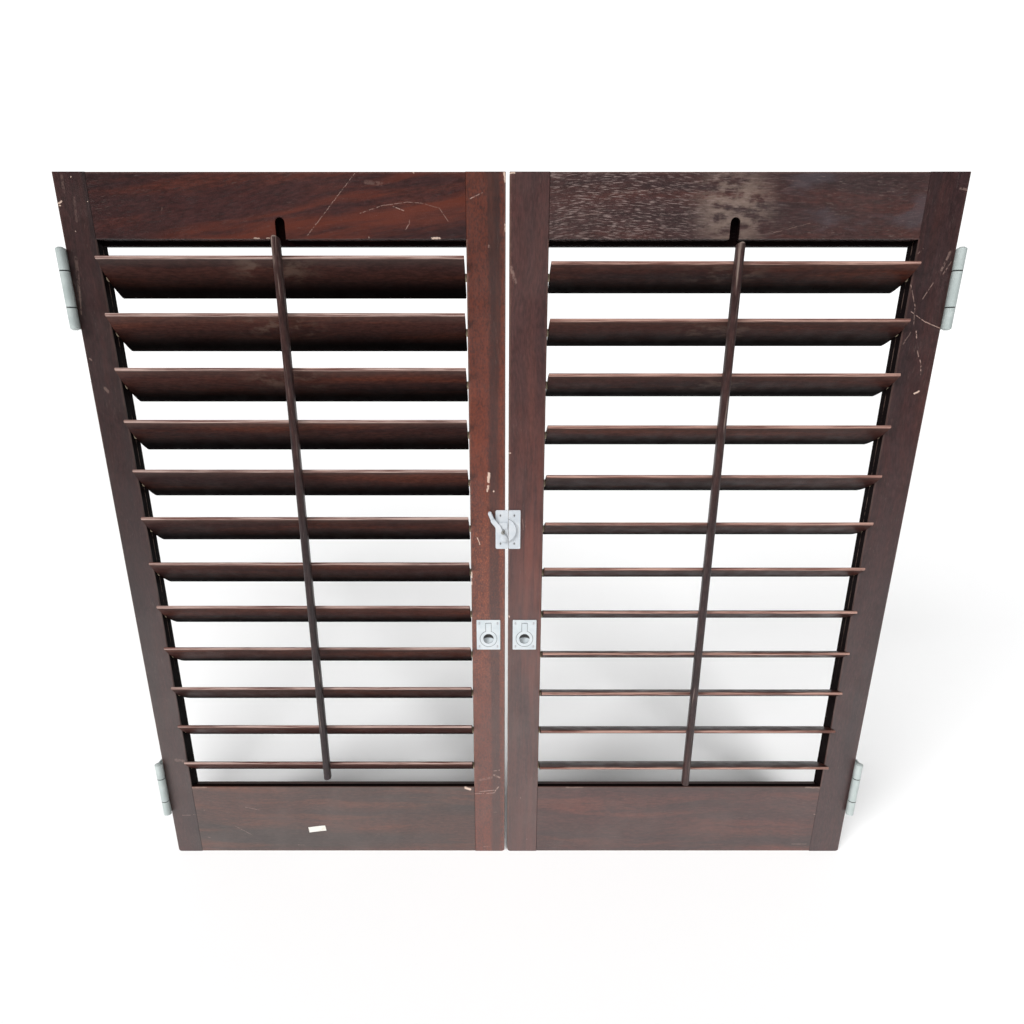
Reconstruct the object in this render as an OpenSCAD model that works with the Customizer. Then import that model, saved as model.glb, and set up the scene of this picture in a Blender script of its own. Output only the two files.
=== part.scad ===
// A hung pair of louvred window shutters in dark stained mahogany.
// X runs to the right, Y away from the room, Z up. The origin lies below
// the middle of the pair, level with the feet of the panels.
// Each panel has two stiles, two rails, twelve louvres on nylon pins and a
// tilt rod that is stapled to every louvre.

/* [Panels] */
// Height of both panels
panel_height = 1071; // [950:1:1200]
// Thickness of the stiles and rails
panel_thickness = 27; // [26:0.5:32]
// Width of the louvre opening in each panel
opening_width = 495; // [350:1:600]
// Width of a full stile
stile_width = 53; // [50:0.5:65]
// Wood planed off the left panel's hinge stile to fit its window
planed_off = 9.5; // [0:0.5:12]
// Height of the top rail
top_rail_height = 79; // [60:1:110]
// Height of the bottom rail
bottom_rail_height = 136; // [100:1:170]
// Gap between the two meeting stiles
meeting_gap = 5; // [4:0.5:8]
// Radius of the eased long edges
edge_radius = 1.5; // [0.5:0.25:2.5]
// Radius worn on the free corner of each stile's foot
foot_radius = 6; // [2:0.5:10]
// Height of the light-stop lip on each rail
lip_height = 6; // [3:0.5:8]
// Thickness of the bottom rail's front lip
lip_thickness = 10.5; // [8:0.5:11]
// Diameter of the dowels that join rails to stiles
dowel_diameter = 10; // [8:0.5:12]
// Length of a dowel
dowel_length = 40; // [34:1:44]

/* [Louvres] */
// How much wider a louvre is than the louvres' spacing
louvre_overlap = 5.5; // [3:0.5:8]
// Thickness of a louvre at its middle
louvre_thickness = 11; // [9:0.5:12]
// Radius of a louvre's front and back edges
louvre_nose = 2; // [1.5:0.25:2.5]
// Radius worn on the two back corners of a louvre
louvre_corner = 4; // [2:0.5:6]
// Gap between a louvre's end and the stile
louvre_end_gap = 2.5; // [1:0.25:3]
// Space between the first louvre's sweep and the top rail's lip
top_sweep_space = 1.25; // [1:0.25:4]
// Space between the last louvre's sweep and the bottom rail's rabbet
bottom_sweep_space = 3.25; // [1:0.25:5]
// Tilt of the left panel's louvres, front edge up
left_tilt = 38; // [0:1:60]
// Tilt of the right panel's louvres, front edge up
right_tilt = 24.5; // [0:0.5:60]
// Diameter of a louvre's nylon pin
louvre_pin_diameter = 5; // [4:0.5:6]
// Diameter of the pin's flange
louvre_flange_diameter = 10.4; // [8:0.2:10.8]

/* [Tilt rods] */
// Width of a tilt rod
rod_width = 11; // [9:0.5:13]
// Depth of a tilt rod from its flat back to its round front
rod_depth = 11.5; // [10:0.5:14]
// Length of rod above the first staple
rod_above = 20; // [14:0.5:24]
// Length of rod below the last staple
rod_below = 24.5; // [10:0.5:30]
// Play around the rod in the slot of the top rail, each side
slot_play = 1; // [0.75:0.25:2]
// Height of the rod's slot above the top rail's front edge
slot_height = 26.5; // [20:0.5:34]
// Diameter of the staple wire
staple_wire = 1.2; // [1:0.1:1.4]
// How far a louvre's staple stands out from its edge
staple_reach = 3.5; // [3.3:0.1:5]
// Width of a louvre's staple between its legs' axes
staple_width = 6.8; // [5:0.2:8]

/* [Hinges] */
// Length of a hinge
hinge_length = 100; // [80:1:120]
// Length of a hinge's middle knuckle
middle_knuckle = 45; // [36:1:50]
// Outer diameter of the knuckles
knuckle_diameter = 12.5; // [11:0.5:13]
// Diameter of the hinge pin
hinge_pin_diameter = 6; // [5:0.5:7]
// Thickness of a leaf
leaf_thickness = 2; // [1.8:0.1:2.4]
// Width of a leaf on the edge of the stile
leaf_width = 24; // [20:0.5:25]
// Gap between the closed leaves
leaf_gap = 2.5; // [2:0.1:3]
// Distance of the hinge axis in front of the panels' faces
axis_forward = 7; // [6.9:0.1:8]
// Height of the upper hinges' middles below the panel's top
upper_hinge_drop = 140.5; // [100:0.5:200]
// Height of the lower hinges' middles above the panel's foot
lower_hinge_rise = 135.5; // [100:0.5:200]
// Spacing of the three screws in a leaf
leaf_screw_spacing = 36; // [28:1:38]
// Diameter of the holes in a leaf
leaf_hole_diameter = 4.2; // [4:0.1:4.6]
// Diameter of a leaf screw's head
leaf_head_diameter = 7.6; // [7:0.2:8.4]
// Length of a leaf screw
leaf_screw_length = 20; // [16:1:24]

/* [Cam fastener] */
// Height of the fastener's middle above the panels' feet
fastener_rise = 596; // [500:1:650]
// Height of the base plate and of the keeper
fastener_height = 60; // [56:1:66]
// Width of the base plate on the left panel
base_width = 19; // [18.5:0.5:22]
// Width of the keeper on the right panel
keeper_width = 18; // [17:0.5:20]
// Thickness of the base plate and of the keeper
plate_thickness = 2; // [1.8:0.1:2.5]
// Distance of the keeper's edge from the meeting edge of its stile
keeper_inset = 0.3; // [0.2:0.1:1]
// Gap between the base plate and the keeper
plate_gap = 0.9; // [0.7:0.1:1.2]
// Thickness of the hook at its tongue
hook_thickness = 2.2; // [1.8:0.1:2.6]
// Reach of the hook from its pivot
hook_reach = 24.5; // [23:0.25:25]
// Outer radius of the keeper's hood
hood_radius = 18.5; // [18.25:0.25:20]

/* [Ring pulls] */
// Height of the ring pulls' middles above the panels' feet
pull_rise = 423; // [400:1:500]
// Width of a ring pull's plate
pull_width = 38; // [37:0.5:42]
// Height of a ring pull's plate
pull_height = 51; // [50:0.5:56]
// Thickness of a ring pull's plate
pull_plate = 1.6; // [1.4:0.1:2]
// Outer diameter of the ring
ring_diameter = 26.8; // [25:0.2:27]
// Diameter of the finger hole in the ring
ring_hole = 16.8; // [15:0.2:18]
// Thickness of the ring
ring_thickness = 2.8; // [2.6:0.1:3]
// Depth of the finger bowl behind the ring
bowl_depth = 6.5; // [5:0.25:7.5]

/* [Hidden] */
$fn = 48;
WOOD = "#4b2b27";
WORN_WOOD = "#5a3029";
METAL = "#d6dbda";
NYLON = "#d9cfb8";
WIRE = "#8d8a84";
// Running clearance of pins in their holes, and of small fixed fits
fit = 0.05;
eps = 0.01;
louvre_count = 12;

// Levels and depths of a panel
opening_top = panel_height - top_rail_height;
opening_height = opening_top - bottom_rail_height;
pitch = (opening_height - louvre_overlap - top_sweep_space
    - bottom_sweep_space) / louvre_count;
louvre_width = pitch + louvre_overlap;
half_chord = louvre_width / 2;
first_pivot = opening_top - lip_height - top_sweep_space - half_chord;
staple_radius = half_chord + staple_reach;
rod_gap = staple_reach;
axis_y = (rod_depth + staple_reach + rod_gap) / 2;
front_y = axis_y - panel_thickness / 2;
back_y = front_y + panel_thickness;
slot_width = rod_width + 2 * slot_play;
slot_depth = panel_thickness / 2;

// Edges of the panels along X
pair_width = 2 * opening_width + 4 * stile_width - planed_off + meeting_gap;
left_x = -pair_width / 2;
left_hinge_stile = stile_width - planed_off;
left_open_x = left_x + left_hinge_stile;
left_edge = left_open_x + opening_width + stile_width;
right_edge = left_edge + meeting_gap;
right_open_x = right_edge + stile_width;
right_x = pair_width / 2;
left_mid = left_open_x + opening_width / 2;
right_mid = right_open_x + opening_width / 2;
louvre_length = opening_width - 2 * louvre_end_gap;

// How far an arc passes inside the edge that it meets
arc_step = 0.02;

// Louvre pins
pin_r = louvre_pin_diameter / 2;
flange_r = louvre_flange_diameter / 2;
flange_t = louvre_end_gap - 0.3;
pin_in_louvre = 14;
pin_in_stile = 9;

// Staples: the rod's legs pass just above and below the louvre's wire
wire_r = staple_wire / 2;
rod_leg_z = wire_r + 0.4 + wire_r;
rod_crown_y = wire_r + 0.5 + wire_r;
staple_bite = 4;
rod_staple_bite = 5;

// Hinges
knuckle_r = knuckle_diameter / 2;
hinge_pin_r = hinge_pin_diameter / 2;
hinge_axis_out = leaf_gap / 2 + leaf_thickness;
left_axis_x = left_x - hinge_axis_out;
right_axis_x = right_x + hinge_axis_out;
hinge_y = front_y - axis_forward;
leaf_start = knuckle_r + 0.45;
leaf_end = axis_forward + leaf_width;
knuckle_gap = 0.5;
upper_hinge_z = panel_height - upper_hinge_drop;
leaf_hole_r = leaf_hole_diameter / 2;
leaf_head_r = leaf_head_diameter / 2;
sink_depth = leaf_thickness * 0.7;
leaf_screw_y = axis_forward + leaf_width * 0.54;

// Small screws of the pulls, the base plate and the keeper
small_r = 1.3;
small_head_r = 2.6;
small_head_depth = 1.2;
small_length = 12;

// Cam fastener, measured from its pivot
base_edge = right_edge + keeper_inset - plate_gap;
pivot_in = 6.5;
pivot_x = base_edge - pivot_in;
pivot_drop = 13;
pivot_z = fastener_rise - pivot_drop;
plate_face = front_y - plate_thickness;
rivet_r = 2.4;
hook_back = plate_face - 0.3;
hook_front = hook_back - hook_thickness;
lever_thickness = 3.4;
screw_span = 43.6;
keeper_x = right_edge + keeper_inset;
hood_wall = 1.4;
hood_inside = hook_thickness + 0.9;
base_screw_in = 7.4;
keeper_screw_in = 8.6;

// Ring pulls, measured from the middle of the plate
pull_face = front_y - pull_plate;
ring_r = ring_diameter / 2;
recess_r = ring_r + 0.4;
ring_z = pull_height / 2 - 32.3;
neck_width = 8.7;
neck_play = 0.3;
neck_top = pull_height / 2 - 5.2;
ring_pin_r = 0.8;
ring_pin_z = neck_top - 2.1;
recess_depth = ring_thickness + 0.4;
floor_thickness = 1.4;
boss_depth = recess_depth + floor_thickness - pull_plate;
boss_wall = 2;
floor_y = pull_face + recess_depth;
bowl_r = ring_hole / 2 + 0.2;
bowl_sphere = (bowl_r * bowl_r + bowl_depth * bowl_depth) / (2 * bowl_depth);
bowl_wall = 1.3;
pull_screw_x = pull_width / 2 - 4.5;
pull_screw_z = pull_height / 2 - 5.6;
left_pull_x = left_edge - stile_width / 2;
right_pull_x = right_edge + stile_width / 2;

function pivot_height(k) = first_pivot - (k - 1) * pitch;
function rod_point_y(tilt) = axis_y - staple_radius * cos(tilt);
function rod_point_z(k, tilt) = pivot_height(k) + staple_radius * sin(tilt);

// Rectangle with eased corners
module eased(w, d, r) {
    translate([r, 0]) square([w - 2 * r, d]);
    translate([0, r]) square([w, d - 2 * r]);
    for (x = [r, w - r], y = [r, d - r])
        translate([x, y]) circle(r = r, $fn = 32);
}

// Straight bar with round ends, between two points
module capsule(p, q, r) {
    along = q - p;
    translate(p) rotate(atan2(along[1], along[0])) {
        translate([0, -r]) square([norm(along), 2 * r]);
        circle(r = r);
        translate([norm(along), 0]) circle(r = r);
    }
}

// Flat shape drawn in the plane of the panels, grown towards the room
module from_back(y, h) {
    translate([0, y, 0]) rotate([90, 0, 0]) linear_extrude(h) children();
}

// Round hole or pin along X, starting at x and running to the right
module bore_x(x, y, z, r, l) {
    translate([x, y, z]) rotate([0, 90, 0]) cylinder(r = r, h = l);
}

// Holes for the dowels: two at each rail end
function dowel_heights() = [
    bottom_rail_height * 0.25, bottom_rail_height * 0.7,
    opening_top + top_rail_height * 0.28, opening_top + top_rail_height * 0.75
];

module dowel_holes(x) {
    reach = dowel_length / 2 + 1;
    for (z = dowel_heights())
        bore_x(x - reach, axis_y, z, dowel_diameter / 2 + fit, 2 * reach);
}

module dowels(x0) {
    for (x = [x0, x0 + opening_width], z = dowel_heights())
        bore_x(x - dowel_length / 2, axis_y, z, dowel_diameter / 2,
            dowel_length);
}

module louvre_pin_holes(x, inward) {
    depth = pin_in_stile + 1;
    for (k = [1:louvre_count])
        bore_x(inward > 0 ? x - depth : x - eps, axis_y, pivot_height(k),
            pin_r + fit, depth + eps);
}

// Pilot holes of the leaf screws in a stile's outer edge
module leaf_pilot_holes(x, inward) {
    depth = leaf_screw_length + 1 - leaf_thickness;
    for (h = [upper_hinge_z, lower_hinge_rise], s = [-1:1])
        bore_x(inward > 0 ? x - eps : x - depth, hinge_y + leaf_screw_y,
            h + s * leaf_screw_spacing, leaf_hole_r - 0.3 + fit, depth + eps);
}

// Wood worn off a stile's foot at its free edge, s = 1 for an edge on its right
module foot_wear(x, s) {
    c = foot_radius - arc_step;
    translate([x, 0, 0])
        from_back(front_y + panel_thickness + 1, panel_thickness + 2)
            difference() {
                translate([s > 0 ? -c : -1, -1]) square([c + 1, c + 1]);
                translate([-s * c, c]) circle(r = foot_radius);
            }
}

module stile_bar(x, w, free_side) {
    difference() {
        translate([x, front_y, 0])
            linear_extrude(panel_height)
                eased(w, panel_thickness, edge_radius);
        foot_wear(free_side > 0 ? x + w : x, free_side);
    }
}

module left_hinge_stile_bar() {
    color(WOOD) difference() {
        stile_bar(left_x, left_hinge_stile, -1);
        dowel_holes(left_open_x);
        louvre_pin_holes(left_open_x, 1);
        leaf_pilot_holes(left_x, 1);
    }
}

module right_hinge_stile_bar() {
    color(WOOD) difference() {
        stile_bar(right_x - stile_width, stile_width, 1);
        dowel_holes(right_x - stile_width);
        louvre_pin_holes(right_x - stile_width, -1);
        leaf_pilot_holes(right_x, -1);
    }
}

// Room for the ring pull's casting in a meeting stile
module pull_mortise(x) {
    slack = 0.3;
    translate([x, 0, pull_rise]) {
        from_back(front_y + boss_depth + slack, boss_depth + slack + eps) {
            translate([0, ring_z]) circle(r = recess_r + boss_wall + slack);
            translate([-neck_width / 2 - neck_play - boss_wall - slack, ring_z])
                square([neck_width + 2 * (neck_play + boss_wall + slack),
                    neck_top + boss_wall + slack - ring_z]);
        }
        from_back(floor_y + bowl_depth + bowl_wall + slack,
            floor_y + bowl_depth + bowl_wall + slack - front_y)
            translate([0, ring_z])
                circle(r = bowl_sphere + bowl_wall + slack);
    }
}

module small_pilots(x, z, face) {
    translate([x, 0, z])
        from_back(face + small_length + 1, small_length + 1)
            circle(r = small_r + fit, $fn = 24);
}

module pull_pilots(x) {
    for (sx = [-1, 1], sz = [-1, 1])
        small_pilots(x + sx * pull_screw_x, pull_rise + sz * pull_screw_z,
            pull_face);
}

module left_meeting_stile_bar() {
    color(WORN_WOOD) difference() {
        stile_bar(left_edge - stile_width, stile_width, 1);
        dowel_holes(left_edge - stile_width);
        louvre_pin_holes(left_edge - stile_width, -1);
        pull_mortise(left_pull_x);
        pull_pilots(left_pull_x);
        for (s = [-0.5, 0.5])
            small_pilots(base_edge - base_width + base_screw_in,
                fastener_rise + s * screw_span, plate_face);
    }
}

module right_meeting_stile_bar() {
    color(WOOD) difference() {
        stile_bar(right_edge, stile_width, -1);
        dowel_holes(right_open_x);
        louvre_pin_holes(right_open_x, 1);
        pull_mortise(right_pull_x);
        pull_pilots(right_pull_x);
        for (s = [-0.5, 0.5])
            small_pilots(keeper_x + keeper_screw_in,
                fastener_rise + s * screw_span, plate_face);
    }
}

// Top rail: its back lip hangs behind the first louvre, and a round-topped
// slot takes the tilt rod when the louvres close upwards
module top_rail(x0) {
    slot_r = slot_width / 2;
    color(WOOD) difference() {
        translate([x0, 0, 0]) rotate([90, 0, 90])
            linear_extrude(opening_width) {
                translate([front_y, opening_top])
                    eased(panel_thickness, top_rail_height, edge_radius);
                translate([axis_y, opening_top - lip_height])
                    square([panel_thickness / 2, lip_height + 3 * edge_radius]);
            }
        dowel_holes(x0);
        dowel_holes(x0 + opening_width);
        translate([x0 + opening_width / 2, 0, 0])
            from_back(front_y + slot_depth, slot_depth + eps) {
                translate([0, opening_top + slot_height - slot_r])
                    circle(r = slot_r);
                translate([-slot_r, opening_top - 1])
                    square([slot_width, slot_height - slot_r + 1]);
            }
    }
}

// Bottom rail: a front lip covers the last louvre's edge, with a rabbet
// behind it where that edge swings down
module bottom_rail(x0) {
    color(WOOD) difference() {
        translate([x0, 0, 0]) rotate([90, 0, 90])
            linear_extrude(opening_width) {
                translate([front_y, 0])
                    eased(panel_thickness, bottom_rail_height - lip_height,
                        edge_radius);
                translate([front_y, bottom_rail_height / 2])
                    eased(lip_thickness, bottom_rail_height / 2, edge_radius);
            }
        dowel_holes(x0);
        dowel_holes(x0 + opening_width);
    }
}

// Louvre section: two large arcs that run into the round edges
module louvre_section() {
    b = louvre_thickness / 2;
    c = half_chord - louvre_nose;
    n = louvre_nose - arc_step;
    big = (c * c + b * b - n * n) / (2 * (b - n));
    join = c * big / (big - n);
    intersection() {
        translate([0, b - big]) circle(r = big, $fn = 360);
        translate([0, big - b]) circle(r = big, $fn = 360);
        square([2 * join, 3 * b], center = true);
    }
    for (s = [-1, 1])
        translate([s * c, 0]) circle(r = louvre_nose);
}

// Wood worn off a louvre's back corner, s = 1 for its right end
module louvre_corner_wear(s) {
    c = louvre_corner - arc_step;
    translate([s * louvre_length / 2, half_chord, 0])
        linear_extrude(2 * louvre_thickness, center = true)
            difference() {
                translate([s > 0 ? -c : -1, -c]) square([c + 1, c + 1]);
                translate([-s * c, -c]) circle(r = louvre_corner);
            }
}

module louvre_blade() {
    difference() {
        rotate([90, 0, 90])
            linear_extrude(louvre_length, center = true) louvre_section();
        louvre_corner_wear(-1);
        louvre_corner_wear(1);
        for (s = [-1, 1])
            bore_x(s > 0 ? louvre_length / 2 - pin_in_louvre - 1
                : -louvre_length / 2 - eps, 0, 0, pin_r + fit,
                pin_in_louvre + 1 + eps);
        for (s = [-1, 1])
            translate([s * staple_width / 2, -half_chord + staple_bite + 1, 0])
                rotate([90, 0, 0])
                    cylinder(r = wire_r + fit, h = staple_bite + 2, $fn = 24);
    }
}

module louvre_pins() {
    for (s = [-1, 1]) {
        bore_x(s > 0 ? louvre_length / 2 - pin_in_louvre
            : -louvre_length / 2 - louvre_end_gap - pin_in_stile, 0, 0,
            pin_r, pin_in_louvre + louvre_end_gap + pin_in_stile);
        bore_x(s > 0 ? louvre_length / 2 + fit : -louvre_length / 2 - flange_t,
            0, 0, flange_r, flange_t - fit);
    }
}

module louvre_staple() {
    leg = staple_reach + staple_bite;
    for (s = [-1, 1])
        translate([s * staple_width / 2, -staple_radius, 0]) {
            rotate([-90, 0, 0]) cylinder(r = wire_r, h = leg, $fn = 24);
            sphere(r = wire_r, $fn = 24);
        }
    translate([-staple_width / 2, -staple_radius, 0])
        rotate([0, 90, 0]) cylinder(r = wire_r, h = staple_width, $fn = 24);
}

module louvre(mid, k, tilt) {
    translate([mid, axis_y, pivot_height(k)]) rotate([-tilt, 0, 0]) {
        color(WOOD) louvre_blade();
        color(NYLON) louvre_pins();
        color(WIRE) louvre_staple();
    }
}

// Flat-backed bar with a round front and a rounded top end
module tilt_rod(mid, tilt) {
    r = rod_width / 2;
    top = rod_point_z(1, tilt) + rod_above;
    foot = rod_point_z(louvre_count, tilt) - rod_below;
    back = rod_point_y(tilt) - rod_gap;
    color(WOOD) difference() {
        intersection() {
            translate([mid, back, foot]) linear_extrude(top - foot) {
                translate([0, r - rod_depth]) circle(r = r);
                translate([-r, r - rod_depth])
                    square([rod_width, rod_depth - r]);
            }
            translate([mid, 0, 0]) from_back(back + 1, rod_depth + 2) {
                translate([0, top - r]) circle(r = r);
                translate([-r - 1, foot - 1])
                    square([rod_width + 2, top - r - foot + 1]);
            }
        }
        for (k = [1:louvre_count], s = [-1, 1])
            translate([mid, back + 1, rod_point_z(k, tilt) + s * rod_leg_z])
                rotate([90, 0, 0]) cylinder(r = wire_r + fit,
                    h = rod_staple_bite + 2, $fn = 24);
    }
}

module rod_staples(mid, tilt) {
    reach = rod_crown_y + rod_gap + rod_staple_bite;
    color(WIRE) for (k = [1:louvre_count])
        translate([mid, rod_point_y(tilt) + rod_crown_y, rod_point_z(k, tilt)]) {
            for (s = [-1, 1]) translate([0, 0, s * rod_leg_z]) {
                rotate([90, 0, 0])
                    cylinder(r = wire_r, h = reach, $fn = 24);
                sphere(r = wire_r, $fn = 24);
            }
            translate([0, 0, -rod_leg_z])
                cylinder(r = wire_r, h = 2 * rod_leg_z, $fn = 24);
        }
}

// One leaf of a butt hinge about its axis. Spans are the heights of its
// knuckles; the leaf stands on the right of the axis
module hinge_leaf(spans) {
    difference() {
        union() {
            translate([leaf_gap / 2, leaf_start, -hinge_length / 2])
                cube([leaf_thickness, leaf_end - leaf_start, hinge_length]);
            for (s = spans) {
                translate([0, 0, s[0]])
                    cylinder(r = knuckle_r, h = s[1] - s[0]);
                translate([leaf_gap / 2, 0, s[0]])
                    cube([leaf_thickness, leaf_start + 1, s[1] - s[0]]);
            }
        }
        for (s = spans)
            translate([0, 0, s[0] - 1])
                cylinder(r = hinge_pin_r + fit, h = s[1] - s[0] + 2);
        for (i = [-1:1]) {
            z = i * leaf_screw_spacing;
            bore_x(leaf_gap / 2 - 1, leaf_screw_y, z, leaf_hole_r,
                leaf_thickness + 2);
            translate([leaf_gap / 2, leaf_screw_y, z]) rotate([0, 90, 0])
                cylinder(r1 = leaf_head_r + 0.15, r2 = leaf_hole_r,
                    h = sink_depth);
        }
    }
}

function outer_spans() = [
    [-hinge_length / 2, -middle_knuckle / 2 - knuckle_gap],
    [middle_knuckle / 2 + knuckle_gap, hinge_length / 2]
];
function inner_span() = [[-middle_knuckle / 2, middle_knuckle / 2]];

module frame_leaf(x, z, side) {
    color(METAL) translate([x, hinge_y, z])
        mirror([side > 0 ? 1 : 0, 0, 0]) hinge_leaf(outer_spans());
}

module panel_leaves(x, side) {
    color(METAL) for (z = [upper_hinge_z, lower_hinge_rise])
        translate([x, hinge_y, z]) mirror([side > 0 ? 0 : 1, 0, 0])
            hinge_leaf(inner_span());
}

// Pins of all four hinges, with a rounded button at each end
module hinge_pin_set() {
    button = 1.8;
    color(METAL) for (x = [left_axis_x, right_axis_x],
        z = [upper_hinge_z, lower_hinge_rise])
        translate([x, hinge_y, z]) {
            cylinder(r = hinge_pin_r, h = hinge_length, center = true);
            translate([0, 0, hinge_length / 2])
                cylinder(r1 = knuckle_r - 0.4, r2 = hinge_pin_r, h = button);
            translate([0, 0, -hinge_length / 2 - button])
                cylinder(r1 = hinge_pin_r, r2 = knuckle_r - 0.4, h = button);
        }
}

// Countersunk screw along +X with its head's face at the origin
module leaf_screw() {
    shank = leaf_hole_r - 0.3;
    difference() {
        union() {
            rotate([0, 90, 0]) cylinder(r = shank, h = leaf_screw_length);
            rotate([0, 90, 0])
                cylinder(r1 = leaf_head_r, r2 = shank, h = sink_depth);
        }
        cube([1, 2 * leaf_head_r + 1, 1], center = true);
    }
}

module leaf_screw_set(x, side) {
    color(METAL) for (h = [upper_hinge_z, lower_hinge_rise], s = [-1:1])
        translate([x, hinge_y + leaf_screw_y, h + s * leaf_screw_spacing])
            mirror([side > 0 ? 0 : 1, 0, 0]) leaf_screw();
}

// Countersunk screw that goes in from the room side
module small_screw(x, z, face) {
    translate([x, face, z]) rotate([-90, 0, 0]) difference() {
        union() {
            cylinder(r = small_r, h = small_length, $fn = 24);
            cylinder(r1 = small_head_r, r2 = small_r, h = small_head_depth,
                $fn = 32);
        }
        cube([0.7, 2 * small_head_r + 1, 1], center = true);
    }
}

module small_hole(x, z, face) {
    translate([x, face - eps, z]) rotate([-90, 0, 0]) {
        cylinder(r = small_r + 0.2, h = 8, $fn = 24);
        cylinder(r1 = small_head_r + 0.15, r2 = small_r + 0.2,
            h = small_head_depth, $fn = 32);
    }
}

module pull_screws(x) {
    for (sx = [-1, 1], sz = [-1, 1])
        small_screw(x + sx * pull_screw_x, pull_rise + sz * pull_screw_z,
            pull_face);
}

module left_small_screw_set() {
    color(METAL) {
        pull_screws(left_pull_x);
        for (s = [-0.5, 0.5])
            small_screw(base_edge - base_width + base_screw_in,
                fastener_rise + s * screw_span, plate_face);
    }
}

module right_small_screw_set() {
    color(METAL) {
        pull_screws(right_pull_x);
        for (s = [-0.5, 0.5])
            small_screw(keeper_x + keeper_screw_in,
                fastener_rise + s * screw_span, plate_face);
    }
}

// Base plate of the cam fastener; it reaches over the meeting gap
module cam_base_plate() {
    x0 = base_edge - base_width;
    color(METAL) difference() {
        translate([x0, 0, fastener_rise - fastener_height / 2])
            from_back(front_y, plate_thickness)
                eased(base_width, fastener_height, 2.5);
        for (s = [-0.5, 0.5])
            small_hole(x0 + base_screw_in, fastener_rise + s * screw_span,
                plate_face);
        translate([pivot_x, 0, pivot_z])
            from_back(front_y + 1, plate_thickness + 2)
                circle(r = rivet_r + fit);
    }
}

// Rivet with a low domed head, on which the hook turns
module cam_rivet_pin() {
    head = hook_front - lever_thickness - 0.2;
    dome = 5.6;
    dome_rise = 2;
    crown = 9;
    color(METAL) translate([pivot_x, 0, pivot_z]) {
        from_back(front_y, front_y - head + 0.5) circle(r = rivet_r);
        intersection() {
            translate([0, head - dome_rise + crown, 0]) sphere(r = crown);
            from_back(head, 3 * dome_rise) circle(r = dome);
        }
    }
}

// Hook: a leg and a top bar in the lower layer, the leg and the thumb
// lever in the upper one. Only the lower layer slides under the hood when
// the lever is upright
module cam_hook_body() {
    color(METAL) translate([pivot_x, 0, pivot_z]) difference() {
        union() {
            from_back(hook_back, hook_thickness) hook_outline();
            from_back(hook_front, lever_thickness) {
                circle(r = 5.9);
                capsule([-1.5, 3], [-6.5, 12], 4);
                capsule([-6.5, 12], [-9, 18.5], 4);
                capsule([-9, 18.5], [-16.2, 27.5], 3.5);
                capsule([-16.2, 27.5], [-21, 39], 2.9);
            }
            from_back(hook_front - lever_thickness, 2.6) {
                capsule([-18.6, 33.2], [-21, 39], 2.2);
            }
        }
        from_back(hook_back + 1, hook_thickness + lever_thickness + 2)
            circle(r = rivet_r + fit);
    }
}

module hook_outline() {
    circle(r = 5.9);
    intersection() {
        circle(r = hook_reach);
        union() {
            capsule([0, 0], [-6, 14], 4.9);
            translate([-12, 14.6]) square([17.5, 12]);
            translate([-12, 10]) square([9.5, 8]);
        }
    }
}

// Keeper with a D-shaped hood that is open towards the hook
module keeper_plate() {
    top = fastener_rise + fastener_height / 2;
    reach = keeper_x - pivot_x;
    color(METAL) difference() {
        union() {
            translate([keeper_x, 0, top - fastener_height])
                from_back(front_y, plate_thickness)
                    eased(keeper_width, fastener_height, 1.5);
            translate([pivot_x, 0, fastener_rise])
                from_back(front_y - eps, plate_thickness + hood_inside
                    + hood_wall - eps)
                    intersection() {
                        circle(r = hood_radius, $fn = 96);
                        translate([reach, -hood_radius])
                            square([hood_radius, 2 * hood_radius]);
                    }
        }
        translate([pivot_x, 0, fastener_rise])
            from_back(plate_face, hood_inside)
                circle(r = hood_radius - hood_wall, $fn = 96);
        for (s = [-0.5, 0.5])
            small_hole(keeper_x + keeper_screw_in,
                fastener_rise + s * screw_span, plate_face);
    }
}

// Keyhole outline of a ring pull, grown by a margin
module keyhole(grow) {
    translate([0, ring_z]) circle(r = recess_r + grow, $fn = 96);
    translate([-neck_width / 2 - neck_play - grow, ring_z])
        square([neck_width + 2 * (neck_play + grow),
            neck_top + grow - ring_z]);
}

// Cast plate with the ring's recess and the finger bowl behind it
module pull_casting(x) {
    color(METAL) translate([x, 0, pull_rise]) difference() {
        union() {
            translate([-pull_width / 2, 0, -pull_height / 2])
                from_back(front_y, pull_plate)
                    eased(pull_width, pull_height, 1.2);
            from_back(front_y + boss_depth, boss_depth + pull_plate / 2)
                keyhole(boss_wall);
            intersection() {
                translate([0, floor_y + bowl_depth - bowl_sphere, ring_z])
                    sphere(r = bowl_sphere + bowl_wall, $fn = 64);
                from_back(floor_y + bowl_depth + 3, bowl_depth + 3)
                    translate([0, ring_z]) circle(r = recess_r);
            }
        }
        from_back(floor_y, recess_depth + 1) keyhole(0);
        translate([0, floor_y + bowl_depth - bowl_sphere, ring_z])
            sphere(r = bowl_sphere, $fn = 64);
        bore_x(-neck_width / 2 - 2, pull_face + ring_thickness / 2,
            ring_pin_z, ring_pin_r + fit, neck_width + 4);
        for (sx = [-1, 1], sz = [-1, 1])
            small_hole(sx * pull_screw_x, sz * pull_screw_z, pull_face);
    }
}

module pull_pin(x) {
    color(METAL)
        bore_x(x - neck_width / 2 - 1.9, pull_face + ring_thickness / 2,
            pull_rise + ring_pin_z, ring_pin_r, neck_width + 3.8);
}

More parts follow.
